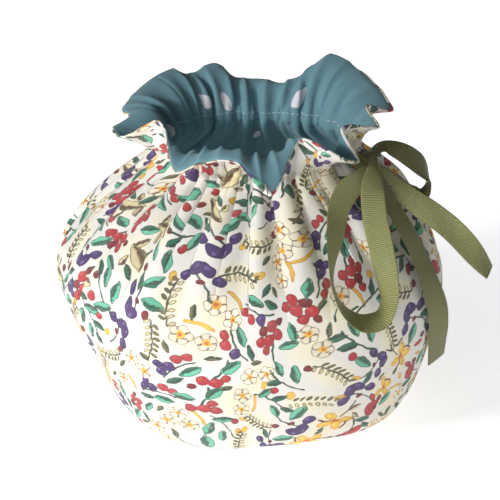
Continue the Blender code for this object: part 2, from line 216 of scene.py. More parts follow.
def turn_at(gore, x, row, side):
    """Angle round the neck's axis at column share x: even shares of the gore's angle, a little
    crowded at three places, and held apart at the slit."""
    half = body_column("gore", row) * gore["sign"]
    first = gore["from"] + half
    last = gore["to"] - half
    waves = 2 * math.pi * CROWDED_PLACES
    share = x + PLEAT_CROWDING * np.sin(waves * x) / waves
    if gore["slit"] is None:
        return first + share * (last - first)
    middle = (first + last) / 2
    held = np.degrees(slit_gap(gore, row) / body_column("spout" if gore["from"] else "handle", row))
    near = first + 2 * share * (middle - held - first)
    far = middle + held + (2 * share - 1) * (last - middle - held)
    return np.where(side < 0, near, far)


def body_point(turn, row, wave):
    """Below the neck: four reaches joined by a squared ellipse, plus the foot and the pleats."""
    angle = np.radians(turn)
    along = np.cos(angle)
    over = np.sin(angle)
    reach_x = np.where(along < 0, body_column("spout", row), body_column("handle", row))
    reach_y = np.where(over < 0, body_column("front", row), body_column("back", row))
    radius = (np.abs(along / reach_x) ** SQUARENESS
              + np.abs(over / reach_y) ** SQUARENESS) ** (-1 / SQUARENESS)
    foot = np.array(FOOT)
    uneven = around(foot[:, 0], foot[:, 1], turn) * np.clip(1 - row / FOOT_ROWS, 0, 1)
    radius = radius + uneven + body_column("pleat", row) * wave
    return np.stack((radius * along, radius * over, body_column("z", row)), axis=-1)


def ruffle_point(turn, row, wave):
    """Above the neck: a parabola from the neck, by a bend right above it, to the rim."""
    part = ((row - NECK_ROW) / RUFFLE_ROWS)[:, None]
    start = body_point(turn, np.full_like(row, NECK_ROW), wave)
    even = body_point(turn, np.full_like(row, NECK_ROW), np.zeros_like(wave))
    end = around(rim_turns(), np.array(RIM), turn)
    bend = even + RUFFLE_LEAN * (end[:, :3] - even)
    bend[:, 2] = even[:, 2] + end[:, RIM_COLUMNS.index("lift")]
    bend = bend + (start - even) * (1 - part)
    return (1 - part) ** 2 * start + 2 * part * (1 - part) * bend + part ** 2 * end[:, :3]


def face_point(turn, row, wave):
    """The body up to the neck, and the ruffle above it."""
    low = body_point(turn, np.minimum(row, NECK_ROW), wave)
    high = ruffle_point(turn, np.maximum(row, NECK_ROW), wave)
    return np.where((row > NECK_ROW)[:, None], high, low)


def seam_face(gore, x, row, side):
    """The face between printed cloth and lining, at column share x and row of a gore."""
    return face_point(turn_at(gore, x, row, side), row, ripple(gore, x))


# ---------------------------------------------------------------- cloth on the seam face

# Crests across a gore: how an even pitch is made uneven by two waves (height, waves; height, waves,
# shift), the power that makes their valleys narrow, and how uneven they are from crest to crest.
CREST_MEAN = 0.6
GATHER_STRAY = (0.35, 9, 0.2, 23, 0)
GATHER_SHARP = 0.8
GATHER_UNEVEN = 0.35
GATHER_STRIDE = 3.1
FOLD_STRAY = (0.3, 7, 0.16, 17, 1)
FOLD_SHARP = 0.75
FOLD_UNEVEN = 0.45
FOLD_STRIDE = 2.3
FOLD_SHIFT = 0.7

# The drawstring's fine gathers: their height, the rows they reach down and up, and the rows from
# the neck within which they are full.
GATHER_HEIGHT = 1.3
GATHER_BELOW = 2.2
GATHER_ABOVE = 1.6
GATHER_FULL = (0.3, 0.2)

# The folds: their heights down the shoulder and up the ruffle, their lowest row and how it varies,
# the rows below the neck where they are full and end, and how they rise and flatten above it.
FOLD_DOWN = 2.5
FOLD_UP = 3.4
FOLD_LOW = 6.4
FOLD_LOW_SPREAD = 1.6
FOLD_FULL = 0.8
FOLD_END = 0.6
FOLD_RISE = 1.4
FOLD_FLATTEN = 1.6
FOLD_FLAT = 0.8
CREASE_START = (6, 24)

# How far in millimetres an edge is rounded off, and how deep the seams lie.
EDGE_ROUND = 1.7
LINING_ROUND = 1.0
SEAM_ROUND = 1.5
SEAM_DEPTH = 0.35

# The turned-in cloth lies this deep inside, and its edge comes back by a share over a length.
FACING_DEPTH = 1.25
FACING_ROUND = 1.0
FACING_END = 0.6
FACING_END_LONG = 0.8

# The lining stands farther in, and the print is thinner, at the drawn neck, so that the bend there
# doesn't bring the print through. The lining ends short of the rim.
LINING_THICK = 0.8
NECK_SLACK = 0.9
NECK_SLACK_ROWS = 0.8
NECK_PINCH = 0.85
NECK_PINCH_ROWS = 0.5
LINING_SHORT = 0.5
LINING_SHORT_UNFACED = 0.1
NEAR_GAP = 0.04

# The step for slopes at a seam, how far from it the cloth lies calm, the rows that the middle line
# is measured by, and the distance from a slit that stands for none.
SEAM_STEP = 0.004
SEAM_CALM = 5.0
LINE_STEPS = 900
NO_SLIT = 99.0
SLIT_OPEN = 3.0

# Real width of the cloth against the width it is gathered to, for the print: 0 follows the cloth
# as it was cut, 1 follows the gathered form.
PRINT_FOLLOWS = 0.6


def rounded(distance, radius):
    """A quarter circle: 0 at an edge, 1 from radius on."""
    return np.sqrt(1 - (1 - np.clip(distance / radius, 0, 1)) ** 2)


def outward(grid, split):
    """Unit normals of a grid: the slope across, with each side of a slit by itself, crossed with
    the slope up."""
    halves = np.split(grid, [split], axis=1) if split else [grid]
    run = np.concatenate([np.gradient(half, axis=1) for half in halves], axis=1)
    return unit(np.cross(run, np.gradient(grid, axis=0)))


def seam_directions(name, rows, last):
    """Outward unit vectors along a gore's first or last seam, the same for both gores it joins:
    the sum of what each gore gives on its own side."""
    names = list(GORES)
    here = names.index(name)
    beside = names[(here + 1) % len(names)] if last else names[here - 1]
    total = np.zeros((len(rows), 3))
    for label, at_end in ((name, last), (beside, not last)):
        gore = GORES[label]
        edge = np.full(len(rows), 1.0 if at_end else 0.0)
        side = np.full(len(rows), 1.0 if at_end else -1.0)
        step = -SEAM_STEP if at_end else SEAM_STEP
        point = seam_face(gore, edge, rows, side)
        run = (seam_face(gore, edge + step, rows, side) - point) / step
        up = np.where(rows < TOP_ROW / 2, SEAM_STEP, -SEAM_STEP)
        rise = (seam_face(gore, edge, rows + up, side) - point) / up[:, None]
        total += unit(np.cross(run, rise))
    return unit(total)


def lay_out(name, cells, short=0.0):
    """A gore as a grid on the seam face, with its rows evenly spaced along the line a quarter of
    the way across. Gives the points, the column shares and rows, the flat cloth's place in
    millimetres and the distances to its side seams, its rim, its hem and its slit."""
    gore = GORES[name]
    across, up = cells
    fine = np.linspace(0, TOP_ROW, LINE_STEPS)
    still = np.zeros_like(fine)
    length = steps_along(face_point(turn_at(gore, still + 0.25, fine, still - 1), fine, still))
    up_mm = np.linspace(0, length[-1] - short, up + 1)
    rows = np.interp(up_mm, length, fine)
    share = np.linspace(0, 1, across + 1)
    side = np.where(share < 0.5, -1.0, 1.0)
    split = 0
    if gore["slit"]:
        half = across // 2
        split = half + 1
        share = np.concatenate((share[:split], share[half:]))
        side = np.concatenate((np.full(split, -1.0), np.full(len(share) - split, 1.0)))
    x, row = np.meshgrid(share, rows)
    sides = np.broadcast_to(side, x.shape)
    points = seam_face(gore, x.ravel(), row.ravel(), sides.ravel()).reshape(*x.shape, 3)
    widths = np.linalg.norm(np.diff(points, axis=1), axis=2)
    if split:
        widths[:, split - 1] = 0.0
    width = widths.sum(axis=1)[:, None]
    cut = width.max()
    flat_x = (x - 0.5) * cut * (width / cut) ** PRINT_FOLLOWS
    flat_y = np.broadcast_to(up_mm[:, None], x.shape)
    seam = np.minimum(x, 1 - x) * width
    slit = np.full(x.shape, NO_SLIT)
    if split:
        closed = 1 - ease(0, SLIT_OPEN, slit_gap(gore, row))
        slit = np.abs(x - 0.5) * width + 4 * EDGE_ROUND * closed
    return {"gore": gore, "points": points, "x": x, "row": row, "split": split, "flat_x": flat_x,
            "flat_y": flat_y, "seam": seam, "slit": slit, "hem": flat_y,
            "rim": length[-1] - flat_y, "size": (cut, length[-1]),
            "first_seam": seam_directions(name, rows, False),
            "last_seam": seam_directions(name, rows, True)}


def crests(gore, count, x, stray, sharp):
    """Crests across a gore, |sin| to a power under 1 less its mean, at an uneven pitch. Gives the
    number of the crest at each place too."""
    high, waves, low, more_waves, shift = stray
    phase = (count * x + high * np.sin(waves * x + gore["from"])
             + low * np.sin(more_waves * x + shift))
    return np.abs(np.sin(math.pi * phase)) ** sharp - CREST_MEAN, np.floor(phase)


def gathers(cloth):
    """Small sharp gathers at the neck, highest at the neck line."""
    gore, row = cloth["gore"], cloth["row"]
    crest, number = crests(gore, gore["fine"], cloth["x"], GATHER_STRAY, GATHER_SHARP)
    uneven = 1 + GATHER_UNEVEN * np.sin(GATHER_STRIDE * number + gore["from"])
    fade = ease(NECK_ROW - GATHER_BELOW, NECK_ROW - GATHER_FULL[0], row)
    fade = fade * (1 - ease(NECK_ROW + GATHER_FULL[1], NECK_ROW + GATHER_ABOVE, row))
    return GATHER_HEIGHT * crest * uneven * fade


def folds(cloth):
    """Folds that fan out from the drawn neck, each one its own depth and length, down over the
    shoulder and up the ruffle."""
    gore, row = cloth["gore"], cloth["row"]
    crest, number = crests(gore, gore["folds"], cloth["x"], FOLD_STRAY, FOLD_SHARP)
    own = np.sin(FOLD_STRIDE * number + gore["from"] + FOLD_SHIFT)
    low = FOLD_LOW + FOLD_LOW_SPREAD * own
    down = ease(0, 1, (row - low) / (NECK_ROW - FOLD_FULL - low))
    down = down * (1 - ease(NECK_ROW - FOLD_END, NECK_ROW, row))
    up = ease(NECK_ROW, NECK_ROW + FOLD_RISE, row)
    up = up * (1 - FOLD_FLAT * ease(NECK_ROW + FOLD_FLATTEN, TOP_ROW, row))
    return crest * (1 + FOLD_UNEVEN * own) * (FOLD_DOWN * down + FOLD_UP * up)


def creases(cloth):
    """Soft unevenness of hand-sewn cloth: three long waves across each other, 0.7 mm at most."""
    u, v = cloth["flat_x"], cloth["flat_y"]
    start = cloth["gore"]["from"]
    wave = (np.sin(u / 17.0 + 0.6 * np.sin(v / 21.0) + start) * 0.35
            + np.sin(u / 9.0 - v / 15.0 + 1.3) * 0.2 + np.sin(v / 11.0 + u / 37.0 + start) * 0.15)
    return wave * ease(*CREASE_START, v)


def joined(cloth):
    """The grid's quads, four vertex numbers each. A slit's sides are joined above and below it."""
    shape = cloth["x"].shape
    number = np.arange(shape[0] * shape[1]).reshape(shape)
    split = cloth["split"]
    keep = np.ones(shape[1] - 1, dtype=bool)
    if split:
        low, high = cloth["gore"]["slit"][:2]
        closed = (cloth["row"][:, 0] <= low) | (cloth["row"][:, 0] >= high)
        number[closed, split] = number[closed, split - 1]
        keep[split - 1] = False
    quads = np.stack((number[:-1, :-1], number[:-1, 1:], number[1:, 1:], number[1:, :-1]), axis=-1)
    return quads[:, keep].reshape(-1, 4)


def drape(cloth, depth):
    """The grid's points moved out by the gathers and creases, and then by a depth. Where the depth
    has more rows than the grid, the cloth turns back at the rim, as far as its facing reaches."""
    base = cloth["points"]
    out = outward(base, cloth["split"])
    calm = ease(0, SEAM_CALM, cloth["seam"])
    base = base + out * ((gathers(cloth) + folds(cloth) + creases(cloth)) * calm)[:, :, None]
    out = outward(base, cloth["split"])
    out[:, 0] = cloth["first_seam"]
    out[:, -1] = cloth["last_seam"]
    turned = turned_rows(len(base), len(depth))
    laid = base[turned]
    laid[len(base):] = base[-1] + (laid[len(base):] - base[-1]) * facing_share(cloth)[:, None]
    points = laid + out[turned] * depth[:, :, None]
    points[:, :, 2] = np.maximum(points[:, :, 2], 0.0)
    return points


def turned_rows(count, wanted):
    """Row numbers 0 to count - 1, and then back down for the rows wanted beyond them."""
    rows = np.arange(wanted)
    return np.where(rows < count, rows, 2 * (count - 1) - rows)


def widest_facing(gore):
    """The width of a gore's facing where it is widest."""
    return max(width for _, width in gore["facing"])


def facing_share(cloth):
    """How wide the facing is across a gore, as a share of its widest."""
    places, widths = zip(*cloth["gore"]["facing"])
    return np.interp(cloth["x"][0], places, widths) / max(widest_facing(cloth["gore"]), NEAR_GAP)


def faced(cloth):
    """The same cloth with the rows of its facing added, laid on in the flat beyond the rim."""
    count = len(cloth["x"])
    pitch = cloth["flat_y"][1, 0] - cloth["flat_y"][0, 0]
    extra = int(round(widest_facing(cloth["gore"]) / pitch))
    turned = turned_rows(count, count + extra)
    longer = dict(cloth)
    for label in ("x", "row", "flat_x", "flat_y", "seam", "slit", "hem", "rim"):
        longer[label] = cloth[label][turned].copy()
    beyond = pitch * np.arange(1, extra + 1)[:, None] * facing_share(cloth)
    longer["flat_y"][count:] = cloth["flat_y"][-1] + beyond
    longer["rim"][count:] = -beyond
    longer["size"] = (cloth["size"][0], cloth["size"][1] + extra * pitch)
    return longer


def at_neck(cloth, rows):
    """A bell across the neck line: 1 on it, less than a half from the given rows on."""
    return np.exp(-((cloth["row"] - NECK_ROW) / rows) ** 2)


def thickness_share(cloth, radius):
    """How much of its thickness a cloth has: less at the seams, and none at the hem and slit."""
    seam = 1 - SEAM_DEPTH * (1 - rounded(cloth["seam"], SEAM_ROUND))
    edge = np.minimum(rounded(cloth["hem"], radius), rounded(cloth["slit"], radius))
    return np.minimum(seam, edge)


def printed_depth(cloth):
    """How far the printed face stands off the seam face: its thickness, less at the drawn neck.
    Beyond the rim it lies inside, on the lining."""
    thick = np.where(cloth["row"] > NECK_ROW, RUFFLE_THICK, body_column("thick", cloth["row"]))
    thick = thick * (1 - NECK_PINCH * at_neck(cloth, NECK_PINCH_ROWS))
    rim = rounded(np.maximum(cloth["rim"], 0), EDGE_ROUND)
    beyond = rounded(np.maximum(-cloth["rim"], 0), FACING_ROUND)
    reach = widest_facing(cloth["gore"]) * facing_share(cloth)
    ended = 1 - FACING_END * ease(-FACING_END_LONG, 0.0, -cloth["rim"] - reach)
    return (NEAR_GAP + thick * thickness_share(cloth, EDGE_ROUND) * rim
            - FACING_DEPTH * beyond * ended)


def lining_short(gore):
    """How far the lining ends short of the rim: more where a facing lies over its edge."""
    return LINING_SHORT if widest_facing(gore) else LINING_SHORT_UNFACED


def lining_depth(cloth):
    """How far the lining's face stands inside the seam face, a little farther at the neck."""
    rim = rounded(cloth["rim"] - lining_short(cloth["gore"]), LINING_ROUND)
    thick = LINING_THICK + NECK_SLACK * at_neck(cloth, NECK_SLACK_ROWS)
    return -NEAR_GAP - thick * thickness_share(cloth, LINING_ROUND) * rim


def placed(name, data):
    """An object in the scene."""
    made = bpy.data.objects.new(name, data)
    bpy.context.scene.collection.objects.link(made)
    return made


def surface(name, points, quads, uv, material, numbers=(), colours=()):
    """A smooth mesh from whole arrays: points in millimetres from the neck's axis, quads, a UV
    place in millimetres for each point, and attributes that hold a number or colour for each."""
    used, quads = np.unique(quads, return_inverse=True)
    quads = quads.reshape(-1, 4)
    points = (points.reshape(-1, 3)[used] + AXIS) * MM
    mesh = bpy.data.meshes.new(name)
    mesh.vertices.add(len(points))
    mesh.vertices.foreach_set("co", points.ravel())
    mesh.loops.add(quads.size)
    mesh.loops.foreach_set("vertex_index", quads.ravel())
    mesh.polygons.add(len(quads))
    mesh.polygons.foreach_set("loop_start", np.arange(0, quads.size, 4))
    mesh.polygons.foreach_set("use_smooth", np.ones(len(quads), dtype=bool))
    mesh.update(calc_edges=True)
    layer = mesh.uv_layers.new(name="cloth_mm")
    layer.uv.foreach_set("vector", uv.reshape(-1, 2)[used][quads.ravel()].ravel())
    for label, values in numbers:
        layer = mesh.attributes.new(label, "FLOAT", "POINT")
        layer.data.foreach_set("value", values.ravel()[used])
    for label, values in colours:
        full = np.ones((len(used), 4))
        full[:, :3] = values.reshape(-1, 3)[used]
        layer = mesh.attributes.new(label, "FLOAT_COLOR", "POINT")
        layer.data.foreach_set("color", full.ravel())
    mesh.materials.append(material)
    made = placed(name, mesh)
    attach(made, "root")
    return made


def flat_uv(cloth):
    """The flat cloth's place, in millimetres, as one pair for each point."""
    return np.stack((cloth["flat_x"], cloth["flat_y"]), axis=-1)


# ---------------------------------------------------------------- shader maths

# Where a Mix node keeps its factor, its two colours and the mixed colour.
MIX_COLOUR_INPUTS = (0, 6, 7)
MIX_COLOUR_OUTPUT = 2


class Socket:
    """A shader value: arithmetic on it adds Math nodes."""

    def __init__(self, tree, output):
        self.tree = tree
        self.output = output

    def math(self, operation, *others):
        node = self.tree.nodes.new("ShaderNodeMath")
        node.operation = operation
        for index, value in enumerate((self, *others)):
            link_or_set(self.tree, node.inputs[index], value)
        return Socket(self.tree, node.outputs[0])

    def __add__(self, other):
        return self.math("ADD", other)

    def __rsub__(self, other):
        return (self * -1.0).math("ADD", other)

    def __mul__(self, other):
        return self.math("MULTIPLY", other)

    def sin(self):
        return self.math("SINE")

    def ramp(self, low, high):
        """0 below low, 1 above high, a straight line between."""
        node = self.tree.nodes.new("ShaderNodeMapRange")
        link_or_set(self.tree, node.inputs["Value"], self)
        node.inputs["From Min"].default_value = low
        node.inputs["From Max"].default_value = high
        return Socket(self.tree, node.outputs["Result"])


def link_or_set(tree, socket, value):
    """Put a link or a plain value on a socket. A colour of three numbers is made opaque."""
    if isinstance(value, Socket):
        tree.links.new(value.output, socket)
    elif socket.type == "RGBA" and len(value) == 3:
        socket.default_value = (*value, 1.0)
    else:
        socket.default_value = value


class Finish:
    """A Principled material under construction."""

    def __init__(self, name, **plain):
        self.material = bpy.data.materials.new(name)
        self.material.use_nodes = True
        self.tree = self.material.node_tree
        self.shader = self.tree.nodes["Principled BSDF"]
        for label, value in plain.items():
            self.shader.inputs[label.replace("_", " ")].default_value = value

    def node(self, kind, settings=(), **inputs):
        """Any node: its settings first, then values or links for its sockets by name."""
        made = self.tree.nodes.new(kind)
        for label, value in dict(settings).items():
            setattr(made, label, value)
        for label, value in inputs.items():
            link_or_set(self.tree, made.inputs[label.replace("_", " ")], value)
        return made

    def out(self, node, label):
        return Socket(self.tree, node.outputs[label])

    def uv(self):
        """The two UV numbers of the piece, in millimetres of flat cloth."""
        place = self.out(self.node("ShaderNodeTexCoord"), "UV")
        parts = self.node("ShaderNodeSeparateXYZ", Vector=place)
        return self.out(parts, "X"), self.out(parts, "Y")

    def place(self):
        return self.out(self.node("ShaderNodeTexCoord"), "Object")

    def attribute(self, label, output="Fac"):
        return self.out(self.node("ShaderNodeAttribute", {"attribute_name": label}), output)

    def noise(self, scale, detail=2.0):
        made = self.node("ShaderNodeTexNoise", Scale=scale, Detail=detail, Vector=self.place())
        return self.out(made, "Fac")

    def mix(self, factor, first, second):
        """A colour between two colours."""
        made = self.node("ShaderNodeMix", {"data_type": "RGBA"})
        for index, value in zip(MIX_COLOUR_INPUTS, (factor, first, second)):
            link_or_set(self.tree, made.inputs[index], value)
        return Socket(self.tree, made.outputs[MIX_COLOUR_OUTPUT])

    def set(self, label, value):
        link_or_set(self.tree, self.shader.inputs[label], value)

    def weave(self, rate):
        """Threads that cross: the product of two sines of the flat cloth's millimetres."""
        u, v = self.uv()
        return (u * rate).sin() * (v * rate).sin()

    def bump(self, height, distance, strength=1.0):
        made = self.node("ShaderNodeBump", Height=height, Distance=distance, Strength=strength)
        self.set("Normal", self.out(made, "Normal"))


# ---------------------------------------------------------------- finishes

GROUND = (0.79, 0.765, 0.715)
WORN = (0.80, 0.78, 0.74)
INK_SHADE = (0.02, 0.02, 0.02)
TEAL = (0.150, 0.305, 0.358)
TEAL_LIGHT = tuple(1.12 * part for part in TEAL)
DOT = (0.84, 0.82, 0.88)
# The ribbon's olive, and the lighter olive painted where a run should look lit.
OLIVE = (0.100, 0.104, 0.032)
OLIVE_PAINTED_LIT = (0.430, 0.440, 0.175)
THREAD = (0.64, 0.69, 0.73)
THREAD_LIGHT = (0.70, 0.73, 0.76)

# Radians of a weave's waves to the millimetre, the depth of cloth's bumps in metres, the ribs'
# spacing and depth, and where the ribbon's smooth edge begins and is full, from its middle.
PRINT_WEAVE = 15.0
LINING_WEAVE = 13.0
CLOTH_BUMP = 0.0007
RIB_PITCH = 1.0
RIB_BUMP = 0.00035
BOUND_EDGE = (5.9, 6.3)


def printed_cotton():
    """Cream cotton with its print: the wash colour, and the ink where its cover is above 0."""
    made = Finish("printed_cotton_cloth", Roughness=0.82, Sheen_Weight=0.12)
    deep = made.attribute("cover")
    cover = deep.ramp(-0.12, 0.12)
    wash = made.attribute("wash", "Color")
    ink = made.mix(deep.ramp(0.1, 0.5), made.attribute("edge", "Color"),
                   made.attribute("ink", "Color"))
    weave = made.weave(PRINT_WEAVE)
    fade = made.noise(90.0).ramp(0.3, 0.7) * 0.05
    colour = made.mix(cover * 0.97, wash, ink)
    patchy = made.noise(650.0).ramp(0.3, 0.72) * 0.22 * cover
    colour = made.mix(patchy, colour, made.mix(0.5, colour, INK_SHADE))
    made.set("Base Color", made.mix(fade, colour, WORN))
    made.bump(weave * 0.03 + made.noise(260.0) * 0.2 + made.noise(65.0) * 1.7, CLOTH_BUMP, 0.7)
    return made.material


def lining_cotton():
    """Plain teal cotton, a little uneven, with pale oval spots where the spot number is above 0."""
    made = Finish("lining_cotton_cloth", Roughness=0.85, Sheen_Weight=0.15)
    spot = made.attribute("spot").ramp(-0.15, 0.15)
    weave = made.weave(LINING_WEAVE)
    cloudy = made.noise(60.0, 3.0).ramp(0.25, 0.75)
    made.set("Base Color", made.mix(spot, made.mix(cloudy, TEAL, TEAL_LIGHT), DOT))
    made.bump(weave * 0.05 + made.noise(220.0) * 0.3 + made.noise(75.0) * 1.6, CLOTH_BUMP, 0.8)
    return made.material


def grosgrain():
    """Olive grosgrain: ribs straight across the ribbon, and a smooth bound edge on each side."""
    made = Finish("grosgrain_ribbon_cloth", Roughness=0.42, Specular_IOR_Level=0.5)
    u, v = made.uv()
    within = 1 - u.math("ABSOLUTE").ramp(*BOUND_EDGE)
    rib = (v * (2 * math.pi / RIB_PITCH)).sin() * 0.5 + 0.5
    # Painted light: rib tops are painted lighter as a painted highlight, and each run lighter or
    # darker by how lit it should look.
    painted_sheen = made.attribute("painted_sheen")
    light = rib * within * (painted_sheen * 0.5 + 0.25) + painted_sheen * 0.3 + 0.05
    made.set("Base Color", made.mix(light, OLIVE, OLIVE_PAINTED_LIT))
    made.bump(rib * within, RIB_BUMP)
    return made.material


def thread():
    """Pale grey sewing thread."""
    made = Finish("stitch_thread", Roughness=0.7)
    made.set("Base Color", made.mix(made.noise(400.0), THREAD, THREAD_LIGHT))
    return made.material


# ---------------------------------------------------------------- the print

def seen(red, green, blue):
    """A colour for the shader from the three numbers 0 to 255 that show it on a screen."""
    return tuple(((part / 255 + 0.055) / 1.055) ** 2.4 for part in (red, green, blue))


# Each ink's colour and then its edge's, as the numbers 0 to 255 that they show on a screen.
INK_SCREEN = {
    "red": (182, 40, 48, 118, 20, 26), "maroon": (122, 28, 34, 96, 20, 26),
    "rose": (206, 84, 84, 190, 62, 66), "plum": (70, 38, 106, 34, 18, 54),
    "lilac": (124, 94, 162, 100, 72, 138), "mint": (104, 194, 160, 20, 66, 52),
    "fern": (40, 112, 86, 14, 48, 38), "vein": (24, 72, 56, 24, 72, 56),
    "olive": (116, 110, 70, 56, 52, 30), "bark": (74, 68, 42, 48, 44, 26),
    "sepia": (226, 212, 164, 86, 76, 46), "brown": (98, 60, 44, 84, 50, 38),
    "ochre": (240, 190, 66, 206, 148, 44), "amber": (214, 104, 42, 190, 84, 34),
    "straw": (250, 226, 140, 246, 208, 100), "petal": (248, 238, 214, 138, 108, 84),
}
INKS = {name: (seen(*part[:3]), seen(*part[3:])) for name, part in INK_SCREEN.items()}
HALO = seen(241, 230, 190)
DARK_SIDE = {"mint": "fern", "fern": "vein", "sepia": "olive", "olive": "bark"}
GLEAM = {"red": "rose", "maroon": "red", "plum": "lilac", "ochre": "straw"}

# Small leaves in pairs along a stem 18 mm long, and over its middle as far as it bends.
FEATHER = tuple(("leaf", ink, along, 1.6 - 0.02 * along ** 2 + 1.9 * side, 3.4, 1.5, 58.0 * side)
                for side, ink in ((1, "olive"), (-1, "sepia"))
                for along in np.arange(-7.0, 9.0, 2.6) + 0.8 * side)


def charted(text):
    """Marks from text: a kind and its ink, and then the place along and over, length, width and
    angle of each such mark, with commas between marks and semicolons between kinds."""
    marks = []
    for group in text.split(";"):
        kind, ink, rest = group.split(None, 2)
        marks += [(kind, ink, *map(float, mark.split())) for mark in rest.split(",")]
    return tuple(marks)


POSIES = (
    charted("""
        stem vein -1 -2.5 15 0.9 42; leaf mint -7 -4 10.5 5 205, 4 -5.4 9 4 -38;
        berry red -3.6 1.2 4.4 4 20, 0.6 2.8 5.4 5 0, 4.8 1.2 4.8 4.4 60, -2.8 5.6 4.8 4.4 0;
        berry maroon 1.6 7.4 4.6 4.2 30; berry red 5.6 5.6 5 4.6 0; berry maroon 9 3.8 3.4 3 0"""),
    charted("""
        stem vein 1 -4 13 0.8 -62; leaf mint -4.8 -6.6 11 5 32; leaf fern 6 -6.4 8 3.4 -48;
        heart plum 0 4.2 7.2 8 92; petal plum 6.6 -0.6 6 4.6 -32, -6.4 -0.2 5.8 4.4 28;
        oval maroon 0.2 -1.6 3 2.2 0; oval lilac -1.8 5.4 2.2 1.2 62, 1.9 5.2 2 1.1 110"""),
    charted("""
        halo - 0 0 24 19 0; crescent ochre 0.4 8.6 11 3.6 0; leaf olive 8.6 -3 7 2.6 22,
        -7.4 -4.6 6.5 2.6 -58; leaf fern 6.6 -7.4 8 3.2 -52; blossom petal -4.2 2.6 8.8 8.8 10,
        4.6 3 8.4 8.4 40, 0.4 -5 8.8 8.8 70"""),
    charted("""
        stem vein -3.4 -6.4 10 0.8 62; heart red 0 1.4 7.4 8.6 84; oval maroon 0.2 -1.2 3.2 2.2 8;
        oval rose -2 3.2 2 1.2 50; berry red 6.6 3.4 6 3 42; berry maroon 6.4 -1.2 3.8 3.4 0;
        leaf mint 5.8 -6 10 4.4 -28; leaf fern -7.2 2.4 8.5 3.6 104; petal plum -4.6 8.2 4.8 4 0;
        oval ochre 1.6 8.6 4.6 2.4 10"""),
    charted("""
        halo - 0 0 22 20 0; stem brown -4.6 -5.8 10 0.8 52; petal ochre 0.2 3.6 6.4 3.8 88,
        4 1 6.4 3.6 18, -3.6 1.4 6.4 3.6 164, 1.8 -3.6 6 3.4 -62;
        crescent maroon -2.4 4.6 5.2 2.2 62, 4.2 -1.6 5.2 2.2 -28; oval amber 0.4 0.4 2.6 2.2 0;
        leaf sepia -7.8 0.4 6 2.4 122, -7.6 -5.4 6 2.6 200; leaf olive 7.4 5 6 2.4 32,
        7.8 -3.8 5.5 2.2 -42"""),
    charted("""
        halo - 0 0 26 17 -20; leaf sepia 0 0 15 6.2 -22; stem brown 0 0.2 13 0.8 -22;
        leaf sepia -4 5.4 7 2.6 68; leaf olive 2.8 4.8 6 2.2 40; leaf sepia -4.4 -4.4 6 2.4 -96;
        berry red 6.8 -6.6 5 4.2 20; berry maroon 8.8 1.6 3.8 3.4 20;
        leaf fern 0.6 -6.6 8.5 3.2 -30"""),
    charted("""
        stem vein 0 0 19 0.9 78; leaf mint -4.6 -3.6 10.5 4.4 142, 4.8 -2.4 11 4.6 34;
        leaf fern -3.4 4.2 9 3.6 124; leaf mint 4.6 5.4 9.5 4 48; leaf fern 2.2 10.4 7 3 84;
        oval ochre -6.8 8.8 4.8 3.4 20; berry red -7.4 0.6 4.2 3.8 0"""),
    charted("""
        halo - 0 0 24 16 0; stem olive 0 0 18 0.8 0; berry maroon -10 -2.6 3.8 3.4 0;
        petal ochre 10.2 2.8 4.6 3 20""") + FEATHER,
    charted("""
        stem vein 0 -1 16 0.8 -12; petal plum -5.6 3.4 5.4 4.4 60, -1.2 2.8 5.6 4.8 100,
        -3.4 7 5 4 80; berry red 4.2 3.2 5 4.6 0, 7.8 0.8 4.4 4 0; leaf mint 2.4 -4.4 10 4.4 -20;
        leaf fern -6 -3.2 8.5 3.6 160"""),
)

# The posies' order along the rows, and their spacing, stray and sizes. Single marks fill the gaps.
POSY_ORDER = (0, 2, 6, 7, 1, 4, 3, 2, 5, 8, 0, 5, 6, 1, 7, 2, 8)
POSY_SHIFT = 4
POSY_PITCH = 20.0
POSY_RISE = POSY_PITCH * 0.87
POSY_STRAY = 2.6
POSY_SIZE = (1.06, 1.24)
FILLERS = tuple(charted(line) for line in (
    "berry red 0 0 4.6 4.2 0",
    "leaf mint 0 0 8 3.6 0",
    "leaf olive -1.6 1.4 5.6 2.3 62; leaf sepia 1.8 0.8 5.6 2.3 18; stem olive 0 -2 5 0.8 60",
    "petal plum 0 0 4.8 3.8 0",
    "petal ochre 0 0 4.8 3.4 0; crescent maroon 0.2 1.4 4.4 2 0",
    "stem brown 0 0 7 0.8 0; leaf olive 2 1.6 4.6 2 50",
    "berry red -1 0 5.4 2.8 30; stem vein 2.2 2 5 0.8 40",
    "leaf fern 0 0 6.5 2.8 0",
    "leaf olive 0 0 6 2.2 0",
))
FILLER_TRIES = 620
PRINT_SEED = 41
SEED_STEP = 7

# Room that a mark needs, as a share of two marks' reach: in a posy, and as a filler.
OVERLAP = 0.8
FILLER_ROOM = 1.2
MARK_MARGIN = 1.6

# The brush's unsteadiness in mm, a stem's bend to its length, a halo's strength and fall-off, the
# range of a mark's tone, and the widths from which leaves and round marks show small parts.
WAVER = 0.17
STEM_BEND = 0.09
HALO_STRENGTH = 0.75
HALO_FALL = 0.6
TONES = (0.82, 1.1)
SHADED_LEAF = 2.2
VEINED_LEAF = 2.6
GLEAMING = 3.2
UNPAINTED = -9.0
PETALS = 5
HEART_LEAN = math.radians(34.0)


def oval(along, over, half_long, half_wide):
    """Millimetres inside an oval, taken as its share of the radius times its half-width."""
    return (1 - np.hypot(along / half_long, over / half_wide)) * half_wide


